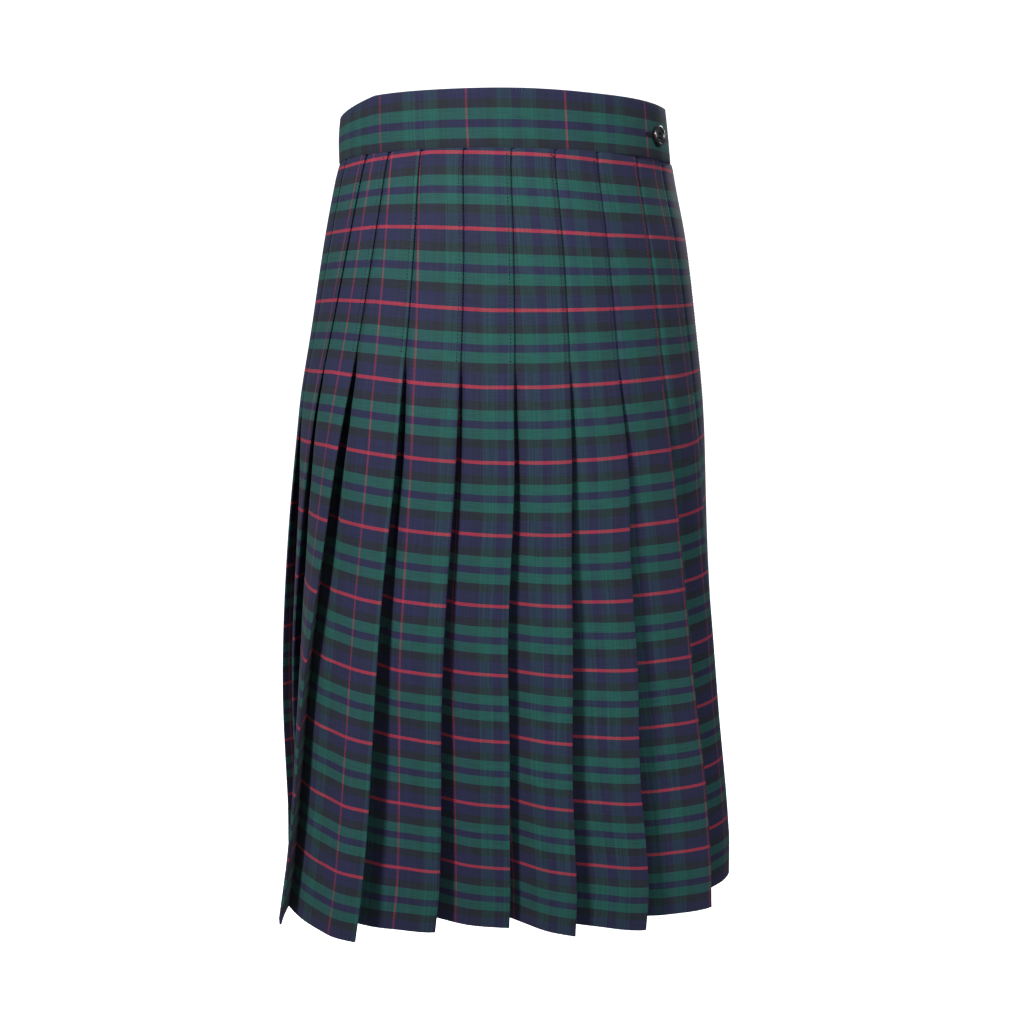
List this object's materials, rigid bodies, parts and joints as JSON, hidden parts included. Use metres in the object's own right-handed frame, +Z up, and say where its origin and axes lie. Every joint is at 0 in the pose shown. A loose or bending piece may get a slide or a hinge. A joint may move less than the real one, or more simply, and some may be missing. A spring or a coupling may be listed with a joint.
{
  "type": "pleated tartan skirt",
  "caption": "Knee-length pleated tartan skirt: knife pleats stitched down to the hip and open below, a plain waistband, and a side fastening with a button.",
  "frame": {"origin": "middle of the waist, level with the seam between the waistband and the pleats", "axes": "+Z up towards the waistband, -Y towards the front, +X towards the wearer's left, where the band buttons"},
  "size_m": [0.3724, 0.2972, 0.587],
  "materials": {
    "tartan_cloth": "matt wool-blend twill in a navy, green and black tartan with a fine red line",
    "button_black": "polished black"
  },
  "bodies": {
    "root": {"waistband": "tartan_cloth", "front_panel": "tartan_cloth", "back_panel": "tartan_cloth", "button": "button_black"}
  },
  "joints": []
}
